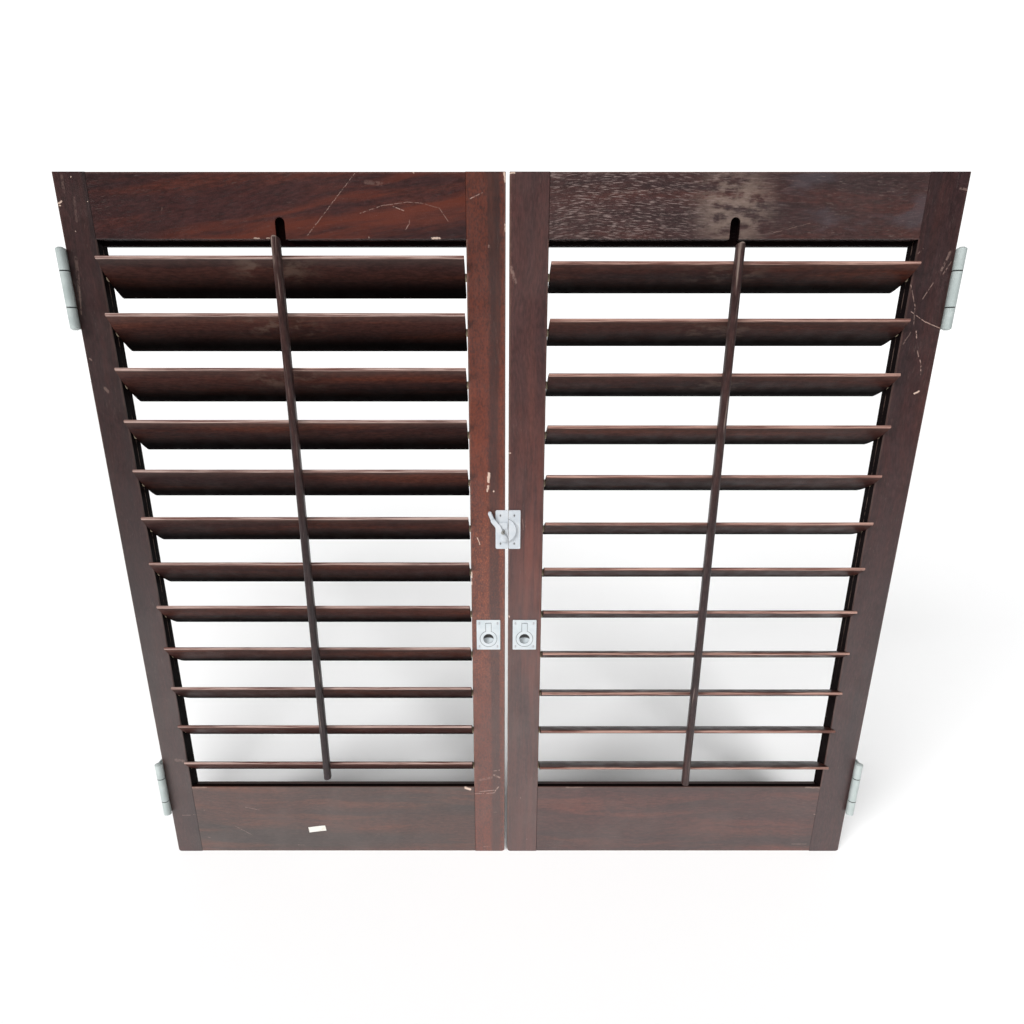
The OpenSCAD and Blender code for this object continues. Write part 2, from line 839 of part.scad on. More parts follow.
// Flat ring with a neck that turns on the pin at its top
module pull_ring(x) {
    eye = ring_thickness / 2;
    color(METAL) translate([x, 0, pull_rise]) difference() {
        union() {
            from_back(pull_face + ring_thickness, ring_thickness) {
                difference() {
                    translate([0, ring_z]) circle(r = ring_r, $fn = 96);
                    translate([0, ring_z]) circle(r = ring_hole / 2);
                }
                translate([-neck_width / 2, ring_z + ring_hole / 2 + 1.5])
                    square([neck_width, ring_pin_z - ring_z - ring_hole / 2
                        - 1.5]);
            }
            bore_x(-neck_width / 2, pull_face + eye, ring_pin_z, eye,
                neck_width);
        }
        bore_x(-neck_width, pull_face + eye, ring_pin_z, ring_pin_r + fit,
            2 * neck_width);
    }
}

frame_leaf(left_axis_x, upper_hinge_z, 1);  // frame_leaf_left_upper
frame_leaf(left_axis_x, lower_hinge_rise, 1);  // frame_leaf_left_lower
frame_leaf(right_axis_x, upper_hinge_z, -1);  // frame_leaf_right_upper
frame_leaf(right_axis_x, lower_hinge_rise, -1);  // frame_leaf_right_lower
hinge_pin_set();  // hinge_pins

left_hinge_stile_bar();  // left_hinge_stile
left_meeting_stile_bar();  // left_meeting_stile
top_rail(left_open_x);  // left_top_rail
bottom_rail(left_open_x);  // left_bottom_rail
color(WOOD) dowels(left_open_x);  // left_dowels
panel_leaves(left_axis_x, 1);  // left_hinge_leaves
leaf_screw_set(left_x - leaf_thickness, 1);  // left_leaf_screws
cam_base_plate();  // cam_base
cam_rivet_pin();  // cam_rivet
left_small_screw_set();  // left_small_screws
pull_casting(left_pull_x);  // left_pull_plate
pull_pin(left_pull_x);  // left_pull_pin
cam_hook_body();  // cam_hook
pull_ring(left_pull_x);  // left_pull_ring
tilt_rod(left_mid, left_tilt);  // left_tilt_rod
rod_staples(left_mid, left_tilt);  // left_rod_staples
louvre(left_mid, 1, left_tilt);  // left_louvre_01
louvre(left_mid, 2, left_tilt);  // left_louvre_02
louvre(left_mid, 3, left_tilt);  // left_louvre_03
louvre(left_mid, 4, left_tilt);  // left_louvre_04
louvre(left_mid, 5, left_tilt);  // left_louvre_05
louvre(left_mid, 6, left_tilt);  // left_louvre_06
louvre(left_mid, 7, left_tilt);  // left_louvre_07
louvre(left_mid, 8, left_tilt);  // left_louvre_08
louvre(left_mid, 9, left_tilt);  // left_louvre_09
louvre(left_mid, 10, left_tilt);  // left_louvre_10
louvre(left_mid, 11, left_tilt);  // left_louvre_11
louvre(left_mid, 12, left_tilt);  // left_louvre_12

right_hinge_stile_bar();  // right_hinge_stile
right_meeting_stile_bar();  // right_meeting_stile
top_rail(right_open_x);  // right_top_rail
bottom_rail(right_open_x);  // right_bottom_rail
color(WOOD) dowels(right_open_x);  // right_dowels
panel_leaves(right_axis_x, -1);  // right_hinge_leaves
leaf_screw_set(right_x + leaf_thickness, -1);  // right_leaf_screws
keeper_plate();  // keeper
right_small_screw_set();  // right_small_screws
pull_casting(right_pull_x);  // right_pull_plate
pull_pin(right_pull_x);  // right_pull_pin
pull_ring(right_pull_x);  // right_pull_ring
tilt_rod(right_mid, right_tilt);  // right_tilt_rod
rod_staples(right_mid, right_tilt);  // right_rod_staples
louvre(right_mid, 1, right_tilt);  // right_louvre_01
louvre(right_mid, 2, right_tilt);  // right_louvre_02
louvre(right_mid, 3, right_tilt);  // right_louvre_03
louvre(right_mid, 4, right_tilt);  // right_louvre_04
louvre(right_mid, 5, right_tilt);  // right_louvre_05
louvre(right_mid, 6, right_tilt);  // right_louvre_06
louvre(right_mid, 7, right_tilt);  // right_louvre_07
louvre(right_mid, 8, right_tilt);  // right_louvre_08
louvre(right_mid, 9, right_tilt);  // right_louvre_09
louvre(right_mid, 10, right_tilt);  // right_louvre_10
louvre(right_mid, 11, right_tilt);  // right_louvre_11
louvre(right_mid, 12, right_tilt);  // right_louvre_12
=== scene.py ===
# %% [markdown]
# # Louvred shutters
# Two hung shutter panels of stained mahogany: stiles, rails, twelve tilting
# louvres and a tilt rod each, with painted hinges, a hook fastener and two
# flush ring pulls. The wood and metal parts come ready-made from the CAD
# model, so this lesson is about finishes: stain over open-pored wood, edges
# rubbed pale by hands, old paint on castings, and one small paper sticker.

# %% Load the frame
import math
import bpy
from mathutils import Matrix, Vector


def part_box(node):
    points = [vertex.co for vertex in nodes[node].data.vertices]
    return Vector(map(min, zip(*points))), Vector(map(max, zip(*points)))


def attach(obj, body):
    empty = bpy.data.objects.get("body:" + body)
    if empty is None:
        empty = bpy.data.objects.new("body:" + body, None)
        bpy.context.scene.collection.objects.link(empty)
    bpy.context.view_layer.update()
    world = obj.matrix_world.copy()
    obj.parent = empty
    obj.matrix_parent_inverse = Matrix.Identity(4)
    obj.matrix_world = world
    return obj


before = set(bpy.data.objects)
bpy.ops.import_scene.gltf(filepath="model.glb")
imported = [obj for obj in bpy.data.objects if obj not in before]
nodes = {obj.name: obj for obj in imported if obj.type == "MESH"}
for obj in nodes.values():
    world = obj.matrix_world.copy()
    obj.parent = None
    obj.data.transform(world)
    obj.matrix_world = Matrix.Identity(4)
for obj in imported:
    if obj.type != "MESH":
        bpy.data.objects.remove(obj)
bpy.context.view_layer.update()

# %% [markdown]
# A finish is a tree of nodes. Code that makes and links every node in full is
# slow to read, so one small helper gives each kind a short name: add, times,
# noise, fade (a soft step from 0 to 1) and blend (two colours mixed by a
# mask). A node group would also do, but its sockets hide the numbers, and here
# the numbers are what there is to learn.

# %% Node helper
class Finish:
    """One procedural material, built by short calls."""

    def __init__(self, name):
        self.material = bpy.data.materials.new(name)
        self.material.use_nodes = True
        self.tree = self.material.node_tree
        self.shader = self.tree.nodes["Principled BSDF"]
        self.place = self.node("ShaderNodeTexCoord").outputs["Object"]
        self.x, self.y, self.z = self.split(self.place)

    def node(self, kind, **settings):
        made = self.tree.nodes.new(kind)
        for key, value in settings.items():
            setattr(made, key, value)
        return made

    def feed(self, socket, value):
        if isinstance(value, bpy.types.NodeSocket):
            self.tree.links.new(value, socket)
        else:
            socket.default_value = value

    def math(self, operation, *values):
        made = self.node("ShaderNodeMath", operation=operation)
        for socket, value in zip(made.inputs, values):
            self.feed(socket, value)
        return made.outputs[0]

    def chain(self, operation, values):
        total = values[0]
        for value in values[1:]:
            total = self.math(operation, total, value)
        return total

    def add(self, *values):
        return self.chain("ADD", values)

    def times(self, *values):
        return self.chain("MULTIPLY", values)

    def most(self, *values):
        return self.chain("MAXIMUM", values)

    def least(self, *values):
        return self.chain("MINIMUM", values)

    def off(self, value, spot):
        """How far a value lies from a number, on either side."""
        return self.math("ABSOLUTE", self.add(value, -spot))

    def split(self, vector):
        made = self.node("ShaderNodeSeparateXYZ")
        self.feed(made.inputs[0], vector)
        return made.outputs[0], made.outputs[1], made.outputs[2]

    def join(self, x, y, z):
        made = self.node("ShaderNodeCombineXYZ")
        for socket, value in zip(made.inputs, (x, y, z)):
            self.feed(socket, value)
        return made.outputs[0]

    def vector(self, operation, a, b):
        made = self.node("ShaderNodeVectorMath", operation=operation)
        self.feed(made.inputs[0], a)
        self.feed(made.inputs[1], b)
        plain = operation in ("DOT_PRODUCT", "DISTANCE")
        return made.outputs["Value" if plain else "Vector"]

    def noise(self, place, scale, detail=2.0, roughness=0.5):
        made = self.node("ShaderNodeTexNoise")
        self.feed(made.inputs["Vector"], place)
        made.inputs["Scale"].default_value = scale
        made.inputs["Detail"].default_value = detail
        made.inputs["Roughness"].default_value = roughness
        return made.outputs["Fac"]

    def fade(self, value, start, end, low=0.0, high=1.0):
        made = self.node("ShaderNodeMapRange", interpolation_type="SMOOTHSTEP")
        for socket, number in zip(made.inputs, (value, start, end, low, high)):
            self.feed(socket, number)
        return made.outputs[0]

    def blend(self, mask, a, b, mode="MIX"):
        made = self.node("ShaderNodeMix", data_type="RGBA", blend_type=mode)
        self.feed(made.inputs[0], mask)
        self.feed(made.inputs[6], a)
        self.feed(made.inputs[7], b)
        return made.outputs[2]

    def finish(self, colour, roughness, height=None, depth=0.0):
        self.feed(self.shader.inputs["Base Color"], colour)
        self.feed(self.shader.inputs["Roughness"], roughness)
        if height is not None:
            bump = self.node("ShaderNodeBump")
            bump.inputs["Distance"].default_value = depth
            self.feed(bump.inputs["Height"], height)
            self.feed(self.shader.inputs["Normal"], bump.outputs[0])
        return self.material


def tone(red, green, blue):
    """A screen colour, 0 to 255 each, in Blender's linear light."""
    def linear(value):
        value /= 255
        if value < 0.04:
            return value / 12.92
        return ((value + 0.055) / 1.055) ** 2.4
    return linear(red), linear(green), linear(blue), 1.0


print("Mid grey in linear light:", round(tone(128, 128, 128)[0], 3))

# %% [markdown]
# ## Stained mahogany
# On the real shutters a dark red-brown stain lies on open-pored wood. Four
# scales make it read as wood: broad bands of purple-brown and red-brown, a
# streaky flame figure, a fine mottle, and pores drawn out along the grain. The
# pattern is worked in board directions, across, through and along the grain,
# so one recipe serves upright stiles and level rails alike. A wood photograph
# wrapped on would be quicker, but it would repeat, and it could not know where
# the board ends.

# %% Board directions
def board(f, along, shift, slope=0.0):
    """Object coordinates turned to across, through and along a board."""
    across, grain = (f.z, f.x) if along == "X" else (f.x, f.z)
    wave = f.noise(f.join(across, shift, grain), 5.0, 1.0)
    across = f.add(across, f.times(f.add(wave, -0.5), 0.03),
                   f.times(grain, -slope))
    return f.join(across, f.add(f.y, shift), f.add(grain, shift * 3.7))


def stretched(f, place, across, through, along):
    """The board's place with each direction scaled for a streaky noise."""
    return f.vector("MULTIPLY", place, (across, through, along))


def shaded(f, colour, shade):
    """A colour made darker or lighter by one number."""
    return f.blend(1.0, colour, f.join(shade, shade, shade), "MULTIPLY")


# %% Bare wood recipe
GRAIN_DEPTH = 0.00016


def mahogany(f, place, dark, red, streak, figure):
    """Colour and grain height of the stained wood."""
    broad = f.noise(stretched(f, place, 22, 14, 1.6), 1.0, 3.0, 0.6)
    colour = f.blend(f.fade(broad, 0.36, 0.66), dark, red)
    flames = f.noise(stretched(f, place, 42, 24, 3.4), 1.0, 5.0, 0.6)
    glow = f.times(f.fade(flames, 0.46, 0.7), figure)
    colour = f.blend(glow, colour, streak)
    mottle = f.noise(stretched(f, place, 330, 220, 110), 1.0, 3.0, 0.6)
    colour = shaded(f, colour, f.fade(mottle, 0.28, 0.72, 0.72, 1.34))
    fine = f.noise(stretched(f, place, 900, 500, 26), 1.0, 3.0, 0.6)
    colour = shaded(f, colour, f.fade(fine, 0.25, 0.75, 0.78, 1.2))
    pores = f.fade(f.noise(stretched(f, place, 1500, 900, 60), 1.0, 2.0),
                   0.6, 0.72)
    colour = f.blend(f.times(pores, 0.5), colour, tone(14, 8, 8))
    height = f.add(f.times(fine, 0.35), f.times(pores, -0.6))
    return colour, height


# %% [markdown]
# ## Wear
# Stain rubs off where hands and cloths reach: along the free arrises, the
# sharp edges of each board. A board's own box says where they are, and where a
# rail meets the stile there is no free edge, only a thin dark seam. Scratches
# are drawn one by one as the distance to a short line in the plane of the
# panel, which keeps them crisp at any size and lets each lie where the real
# one does. Deep chips show cream wood, shallow scratches only a paler stain.

# %% Arris mask
# Metres in the shared frame: the front face, the middles of the openings,
# their lower and upper ends, and the rod's slot in a top rail.
FRONT = -0.00425
LEFT_MIDDLE = -0.30775
RIGHT_MIDDLE = 0.29825
OPEN_LOW = 0.136
OPEN_HIGH = 0.992
SLOT_TOP = 1.0187
SLOT_ASIDE = 0.008
SLOT_BACK = 0.0094


def stile_sides(f, name):
    """Distances to a stile's outer side and to its louvre side."""
    low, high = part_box(name)
    middle = LEFT_MIDDLE if name.startswith("left") else RIGHT_MIDDLE
    first = f.add(f.x, -low[0])
    second = f.math("SUBTRACT", high[0], f.x)
    return (first, second) if high[0] < middle else (second, first)


def arris(f, name, along, reach=0.0014):
    """1 on a board's free long edges, fading out over the reach."""
    low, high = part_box(name)
    if along == "X":
        side = f.least(f.add(f.z, -low[2]),
                       f.math("SUBTRACT", high[2], f.z))
    else:
        outer, inner = stile_sides(f, name)
        joined = f.add(f.fade(f.z, OPEN_LOW - 0.002, OPEN_LOW, 0.1, 0.0),
                       f.fade(f.z, OPEN_HIGH, OPEN_HIGH + 0.002, 0.0, 0.1))
        side = f.least(outer, f.add(inner, joined))
    face = f.least(f.add(f.y, -low[1]), f.math("SUBTRACT", high[1], f.y))
    rub = f.noise(f.place, 90.0, 4.0, 0.65)
    away = f.add(side, face, f.times(rub, -0.003))
    return f.fade(away, -0.0006, reach, 1.0, 0.0)


# %% Inner faces
def shaded_inner_face(f, name, along):
    """1 on faces inside the opening, unrubbed and painted near-black as shade.
    """
    behind = f.fade(f.y, FRONT + 0.0008, FRONT + 0.0022)
    if along == "Z":
        inner = stile_sides(f, name)[1]
        return f.times(behind, f.fade(inner, 0.0004, 0.0009, 1.0, 0.0))
    if "top" in name:
        low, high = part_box(name)
        aside = f.off(f.x, (low[0] + high[0]) / 2)
        slot = f.times(
            f.fade(aside, SLOT_ASIDE, SLOT_ASIDE + 0.0004, 1.0, 0.0),
            f.fade(f.z, SLOT_TOP, SLOT_TOP + 0.0003, 1.0, 0.0),
            f.fade(f.y, SLOT_BACK, SLOT_BACK + 0.0004, 1.0, 0.0))
        lip = f.fade(f.z, OPEN_HIGH - 0.0006, OPEN_HIGH + 0.0002, 1.0, 0.0)
        return f.times(behind, f.most(lip, slot))
    return f.times(behind, f.fade(f.z, OPEN_LOW - 0.0008, OPEN_LOW - 0.0002))


def seam(f, name):
    """The hairline where rail ends meet the stile's louvre side."""
    inner = stile_sides(f, name)[1]
    line = f.fade(inner, 0.0003, 0.0007, 1.0, 0.0)
    rails = f.most(f.fade(f.z, OPEN_LOW - 0.002, OPEN_LOW, 1.0, 0.0),
                   f.fade(f.z, OPEN_HIGH, OPEN_HIGH + 0.002))
    return f.times(line, rails, 0.7)


# %% Scratch mask
def scratch(f, flat, start, end, width=0.0006, strength=0.5):
    """1 along a line from start to end, both (x, z), on the front face."""
    a = Vector((start[0], 0.0, start[1]))
    run = Vector((end[0], 0.0, end[1])) - a
    length = max(run.length, 1e-6)
    way = run / length
    spot = f.vector("SUBTRACT", flat, tuple(a))
    step = f.vector("DOT_PRODUCT", spot, tuple(way))
    step = f.least(f.most(step, 0.0), length)
    foot = f.vector("MULTIPLY", tuple(way), f.join(step, step, step))
    gap = f.vector("DISTANCE", spot, foot)
    return f.fade(gap, width * 0.35, width, strength, 0.0)


def marks_of(f, lines, broken, ragged):
    """All the marks of a board: start, end, and often width and strength."""
    shake = f.add(f.noise(f.place, 260.0, 3.0), -0.5)
    nudge = f.times(shake, ragged)
    flat = f.join(f.add(f.x, nudge), 0.0, f.math("SUBTRACT", f.z, nudge))
    marks = [scratch(f, flat, *line) for line in lines]
    worn = f.fade(f.noise(f.place, 330.0, 3.0), *broken)
    front = f.fade(f.y, FRONT + 0.0012, FRONT + 0.002, 1.0, 0.0)
    return f.times(f.most(*marks), worn, front)


# %% Wood of one board
# The louvres' ends have rubbed a pale line down the stiles at their axis.
TRAIL_Y = 0.0092


def stained_board(name, along, shift, dark, red, streak, figure=0.5,
                  slope=0.0, flecks=0.25, film=0.1, wear=0.3, lines=(),
                  chips=(), extra=None):
    """The finish of one board, with its own pattern and its own marks."""
    f = Finish(name + "_stain")
    place = board(f, along, shift, slope)
    colour, grain = mahogany(f, place, dark, red, streak, figure)
    if extra is not None:
        colour = extra(f, colour)
    dash = f.noise(stretched(f, place, 900, 600, 110), 1.0, 2.0)
    patchy = f.fade(f.noise(f.place, 16.0, 3.0, 0.6), 0.4, 0.64)
    colour = f.blend(f.times(f.fade(dash, 0.62, 0.74), patchy, flecks),
                     colour, tone(140, 120, 112))
    # A pale film growing toward the bottom: dust, and a painted sheen for the
    # white floor mirrored there.
    cloud = f.fade(f.noise(f.place, 9.0, 4.0, 0.6), 0.42, 0.7)
    low = f.fade(f.z, 0.62, 0.25, 0.35, 1.0)
    colour = f.blend(f.times(f.add(0.6, f.times(cloud, 0.4)), low, film),
                     colour, tone(116, 104, 100))
    edge = f.times(arris(f, name, along), wear)
    colour = f.blend(edge, colour, tone(128, 96, 84))
    # Painted shade: faces inside the opening, the rod's slot and the rails'
    # lips are coloured near-black and mirror less.
    inner = shaded_inner_face(f, name, along)
    colour = f.blend(f.times(inner, 0.93), colour, tone(12, 6, 7))
    if along == "Z":
        colour = f.blend(seam(f, name), colour, tone(12, 8, 8))
        rub = f.fade(f.noise(f.place, 60.0, 4.0, 0.7), 0.4, 0.6)
        trail = f.times(f.fade(f.off(f.y, TRAIL_Y), 0.0004, 0.001, 0.7, 0.0),
                        inner, rub, f.fade(f.z, 0.3, 0.5))
        colour = f.blend(trail, colour, tone(140, 116, 106))
    marks = 0.0
    if lines:
        marks = marks_of(f, lines, (0.34, 0.54), 0.0014)
        colour = f.blend(marks, colour, tone(178, 148, 136))
    if chips:
        torn = marks_of(f, chips, (0.3, 0.36), 0.0034)
        colour = f.blend(torn, colour, tone(226, 198, 180))
        marks = f.most(marks, torn)
    gloss = f.fade(f.noise(f.place, 30.0, 3.0), 0.3, 0.7, 0.3, 0.42)
    rough = f.add(gloss, f.times(cloud, 0.08), f.times(edge, 0.15),
                  f.times(inner, 0.3))
    mirror = f.add(0.9, f.times(inner, -0.86))
    f.feed(f.shader.inputs["Specular IOR Level"], mirror)
    return f.finish(colour, rough, f.add(grain, f.times(marks, -0.8)),
                    GRAIN_DEPTH)


def dress(name, material):
    """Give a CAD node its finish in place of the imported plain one."""
    slots = nodes[name].data.materials
    slots.clear()
    slots.append(material)


def dress_board(name, *recipe, **marks):
    dress(name, stained_board(name, *recipe, **marks))


DARK = tone(46, 26, 27)
FLAME = tone(98, 42, 24)

# %% [markdown]
# The top rails show the strongest figure. On the left one orange flames rise
# slantwise from the lower edge and fade out to the left. The right one is dry
# and dusty over its left half, with a greyish worn patch round the slot of the
# tilt rod.

# %% Top rails
def flame_area(f, colour):
    """Orange glow low on the rail, fainter and mottled right of the slot."""
    rise = f.add(f.z, f.times(f.add(f.x, 0.45), -0.16), -0.997)
    low = f.fade(rise, 0.016, 0.0)
    across = f.times(f.fade(f.x, -0.53, -0.4), low)
    right = f.fade(f.x, -0.3, -0.24)
    streaks = f.noise(stretched(f, board(f, "X", 0.7, 0.14), 60, 30, 5),
                      1.0, 4.0, 0.6)
    glow = f.times(f.most(across, f.times(right, 0.75)),
                   f.fade(streaks, 0.36, 0.62))
    return f.blend(f.times(glow, 0.8), colour, tone(104, 44, 26))


def dusty_slot(f, colour):
    """Grey worn wood round the right rail's slot, paler to its upper left."""
    spot = f.vector("DISTANCE", f.place, (0.294, FRONT, 1.028))
    rub = f.noise(stretched(f, f.place, 40, 40, 90), 1.0, 5.0, 0.65)
    near = f.fade(f.add(spot, f.times(rub, 0.06)), 0.055, 0.1, 1.0, 0.0)
    scuffed = f.times(near, f.fade(rub, 0.38, 0.6),
                      f.fade(f.y, 0.0, 0.004, 1.0, 0.0))
    colour = f.blend(f.times(scuffed, 0.7), colour, tone(142, 122, 110))
    left = f.fade(f.x, 0.42, 0.14, 0.12, 1.0)
    dash = f.noise(stretched(f, board(f, "X", 0.2), 840, 300, 85),
                   1.0, 4.0, 0.6)
    colour = f.blend(f.times(left, f.fade(dash, 0.52, 0.66), 0.66), colour,
                     tone(164, 142, 136))
    blue = f.fade(f.noise(stretched(f, f.place, 14, 14, 34), 1.0, 4.0),
                  0.5, 0.66)
    return f.blend(f.times(blue, f.fade(f.x, 0.3, 0.4), 0.35), colour,
                   tone(88, 84, 92))


dress_board(
    "left_top_rail", "X", 0.13, DARK, tone(60, 31, 30), FLAME, figure=0.45,
    slope=0.16, extra=flame_area,
    lines=[((-0.204, 1.069), (-0.272, 0.997), 0.0006, 0.6),
           ((-0.2, 1.023), (-0.171, 1.032)),
           ((-0.171, 1.032), (-0.137, 1.036)),
           ((-0.137, 1.036), (-0.119, 1.035)),
           ((-0.119, 1.035), (-0.095, 1.029), 0.0005, 0.3),
           ((-0.095, 1.029), (-0.084, 1.014)),
           ((-0.156, 1.031), (-0.142, 1.026), 0.0008, 0.75),
           ((-0.135, 1.015), (-0.136, 1.01)),
           ((-0.136, 1.01), (-0.141, 1.004), 0.0007, 0.7),
           ((-0.19, 1.059), (-0.17, 1.057), 0.0035, 0.16),
           ((-0.461, 1.03), (-0.463, 1.023), 0.0006, 0.3)],
    chips=[((-0.105, 0.9935), (-0.096, 0.9935), 0.0019, 1.0),
           ((-0.344, 0.9935), (-0.337, 0.9935), 0.0009, 0.7),
           ((-0.327, 0.9935), (-0.323, 0.9935), 0.0009, 0.7),
           ((-0.19, 0.994), (-0.19, 0.9945), 0.0009, 0.6),
           ((-0.127, 1.0695), (-0.128, 1.07), 0.001, 0.6)])
dress_board(
    "right_top_rail", "X", 0.57, tone(52, 34, 35), tone(68, 39, 37), FLAME,
    figure=0.25, flecks=0.6, film=0.3, extra=dusty_slot,
    lines=[((0.13, 1.045), (0.2, 1.052), 0.0008, 0.25),
           ((0.35, 1.0), (0.4, 1.012), 0.0006, 0.3),
           ((0.09, 1.02), (0.12, 1.024), 0.0007, 0.3)])

# %% Bottom rails
dress_board(
    "left_bottom_rail", "X", 0.91, tone(48, 38, 36), tone(72, 41, 34),
    tone(132, 66, 38), figure=0.42, film=0.36,
    lines=[((-0.49, 0.054), (-0.462, 0.035)),
           ((-0.467, 0.094), (-0.443, 0.088)),
           ((-0.541, 0.088), (-0.54, 0.087)),
           ((-0.381, 0.013), (-0.37, 0.013)),
           ((-0.542, 0.03), (-0.538, 0.029))],
    chips=[((-0.556, 0.134), (-0.53, 0.1345), 0.0016, 0.25),
           ((-0.076, 0.134), (-0.068, 0.131), 0.003, 1.0)])
dress_board(
    "right_bottom_rail", "X", 1.37, tone(52, 33, 33), tone(74, 39, 36),
    tone(134, 64, 44), figure=0.34, film=0.3,
    lines=[((0.543, 0.079), (0.551, 0.079), 0.0008, 0.9),
           ((0.554, 0.074), (0.555, 0.074), 0.0009, 0.8),
           ((0.513, 0.015), (0.539, 0.015), 0.0012, 0.3)],
    chips=[((0.1, 0.1345), (0.13, 0.1345), 0.0012, 0.2),
           ((0.52, 0.1345), (0.55, 0.134), 0.0014, 0.25)])

# %% Hinge stiles
dress_board(
    "left_hinge_stile", "Z", 0.29, tone(42, 27, 28), tone(56, 31, 31), FLAME,
    figure=0.1, film=0.28, wear=0.2,
    lines=[((-0.575, 1.041), (-0.577, 1.014), 0.0022, 0.12),
           ((-0.586, 1.066), (-0.587, 1.048), 0.0025, 0.16),
           ((-0.587, 0.97), (-0.592, 0.918), 0.0032, 0.2),
           ((-0.588, 0.95), (-0.594, 0.9), 0.0012, 0.45),
           ((-0.594, 0.842), (-0.592, 0.84), 0.0015, 0.4),
           ((-0.58, 0.802), (-0.576, 0.797), 0.003, 0.25),
           ((-0.574, 0.19), (-0.562, 0.188), 0.004, 0.25),
           ((-0.581, 0.077), (-0.566, 0.077)),
           ((-0.561, 0.078), (-0.557, 0.078))],
    chips=[((-0.598, 1.034), (-0.592, 1.037), 0.0013, 0.9),
           ((-0.597, 1.032), (-0.595, 1.032), 0.001, 0.8),
           ((-0.574, 1.065), (-0.574, 1.0645), 0.0012, 0.9),
           ((-0.558, 1.037), (-0.558, 1.0365), 0.001, 0.8),
           ((-0.551, 1.0695), (-0.547, 1.0695), 0.0014, 0.9),
           ((-0.581, 1.002), (-0.581, 1.0015), 0.0008, 0.6)])
dress_board(
    "right_hinge_stile", "Z", 0.71, tone(46, 28, 30), tone(60, 35, 35), FLAME,
    figure=0.15, film=0.15, wear=0.2,
    lines=[((0.584, 0.955), (0.591, 0.977), 0.0022, 0.4),
           ((0.587, 0.95), (0.595, 0.965), 0.0009, 0.45),
           ((0.554, 0.981), (0.548, 0.975), 0.0008, 0.4),
           ((0.565, 0.918), (0.576, 0.939), 0.0009, 0.5),
           ((0.546, 0.937), (0.557, 0.91), 0.0008, 0.7),
           ((0.557, 0.91), (0.56, 0.886), 0.0007, 0.45),
           ((0.553, 0.903), (0.575, 0.89), 0.0007, 0.8),
           ((0.575, 0.89), (0.597, 0.882), 0.0008, 0.9),
           ((0.55, 0.861), (0.558, 0.877), 0.0007, 0.4),
           ((0.565, 0.878), (0.5675, 0.869), 0.001, 0.9),
           ((0.572, 0.852), (0.575, 0.845), 0.001, 0.85),
           ((0.578, 0.84), (0.58, 0.835), 0.001, 0.85),
           ((0.581, 0.832), (0.583, 0.821), 0.001, 0.9),
           ((0.588, 1.052), (0.598, 1.05), 0.002, 0.3)],
    chips=[((0.579, 0.795), (0.585, 0.798), 0.0014, 0.95)])

# %% Meeting stiles
def orange_strips(f, colour):
    """Orange sides and a grey-brown core, fading dark near the top."""
    wander = f.noise(stretched(f, f.place, 30, 1, 3), 1.0, 3.0, 0.6)
    across = f.add(f.x, f.times(f.add(wander, -0.5), 0.016))
    core = f.times(f.fade(across, -0.034, -0.028),
                   f.fade(across, -0.018, -0.013, 1.0, 0.0))
    grit = f.noise(stretched(f, f.place, 420, 300, 260), 1.0, 3.0, 0.65)
    warm = f.times(f.fade(grit, 0.34, 0.66),
                   f.add(1.0, f.times(core, -0.85)))
    colour = f.blend(f.times(core, 0.5), colour, tone(50, 36, 36))
    colour = f.blend(f.times(warm, 0.62), colour, tone(140, 62, 36))
    speck = f.noise(stretched(f, f.place, 1000, 600, 420), 1.0, 3.0, 0.6)
    speck = f.times(f.fade(speck, 0.5, 0.64), f.add(1.0, f.times(core, -0.7)),
                    f.fade(f.z, 0.7, 0.55), f.fade(f.z, 0.25, 0.4))
    colour = f.blend(f.times(speck, 0.55), colour, tone(186, 104, 66))
    return shaded(f, colour, f.fade(f.z, 0.75, 1.0, 1.0, 0.72))


def faint_strips(f, colour):
    """Thin reddish streaks in the lower half of the right meeting stile."""
    streaks = f.noise(stretched(f, f.place, 85, 40, 5), 1.0, 5.0, 0.65)
    area = f.times(f.fade(f.x, 0.0, 0.024, 0.4, 1.0), f.fade(f.z, 0.9, 0.55),
                   f.fade(f.z, 0.16, 0.42, 0.45, 1.0))
    return f.blend(f.times(f.fade(streaks, 0.36, 0.66), area, 0.6), colour,
                   tone(134, 70, 56))


dress_board(
    "left_meeting_stile", "Z", 1.13, tone(66, 34, 31), tone(88, 43, 34),
    tone(128, 60, 34), figure=0.5, film=0.4, wear=0.55, extra=orange_strips,
    lines=[((-0.054, 1.04), (-0.038, 1.047), 0.0007, 0.8),
           ((-0.03, 0.985), (-0.03, 0.983), 0.0013, 0.6),
           ((-0.066, 0.121), (-0.044, 0.123), 0.0008, 0.8),
           ((-0.052, 0.126), (-0.026, 0.129), 0.0008, 0.9),
           ((-0.04, 0.122), (-0.024, 0.124), 0.0008, 0.9),
           ((-0.024, 0.127), (-0.018, 0.136), 0.0012, 0.9),
           ((-0.026, 0.168), (-0.016, 0.17), 0.0009, 0.7),
           ((-0.026, 0.16), (-0.016, 0.155), 0.0022, 0.6),
           ((-0.05, 0.15), (-0.03, 0.155), 0.003, 0.22),
           ((-0.026, 0.083), (-0.022, 0.083), 0.001, 0.7),
           ((-0.045, 0.009), (-0.035, 0.009), 0.0008, 0.5)],
    chips=[((-0.0315, 0.681), (-0.0325, 0.669), 0.0024, 1.0),
           ((-0.0325, 0.662), (-0.034, 0.655), 0.0022, 1.0),
           ((-0.0245, 0.6545), (-0.0245, 0.654), 0.0016, 1.0),
           ((-0.05, 0.583), (-0.046, 0.572), 0.0008, 1.0),
           ((-0.009, 1.069), (-0.008, 1.06), 0.0022, 1.0),
           ((-0.0078, 1.01), (-0.0078, 1.002), 0.0012, 0.9),
           ((-0.0598, 0.528), (-0.0592, 0.519), 0.0016, 1.0),
           ((-0.0598, 0.512), (-0.0595, 0.508), 0.0012, 1.0)])
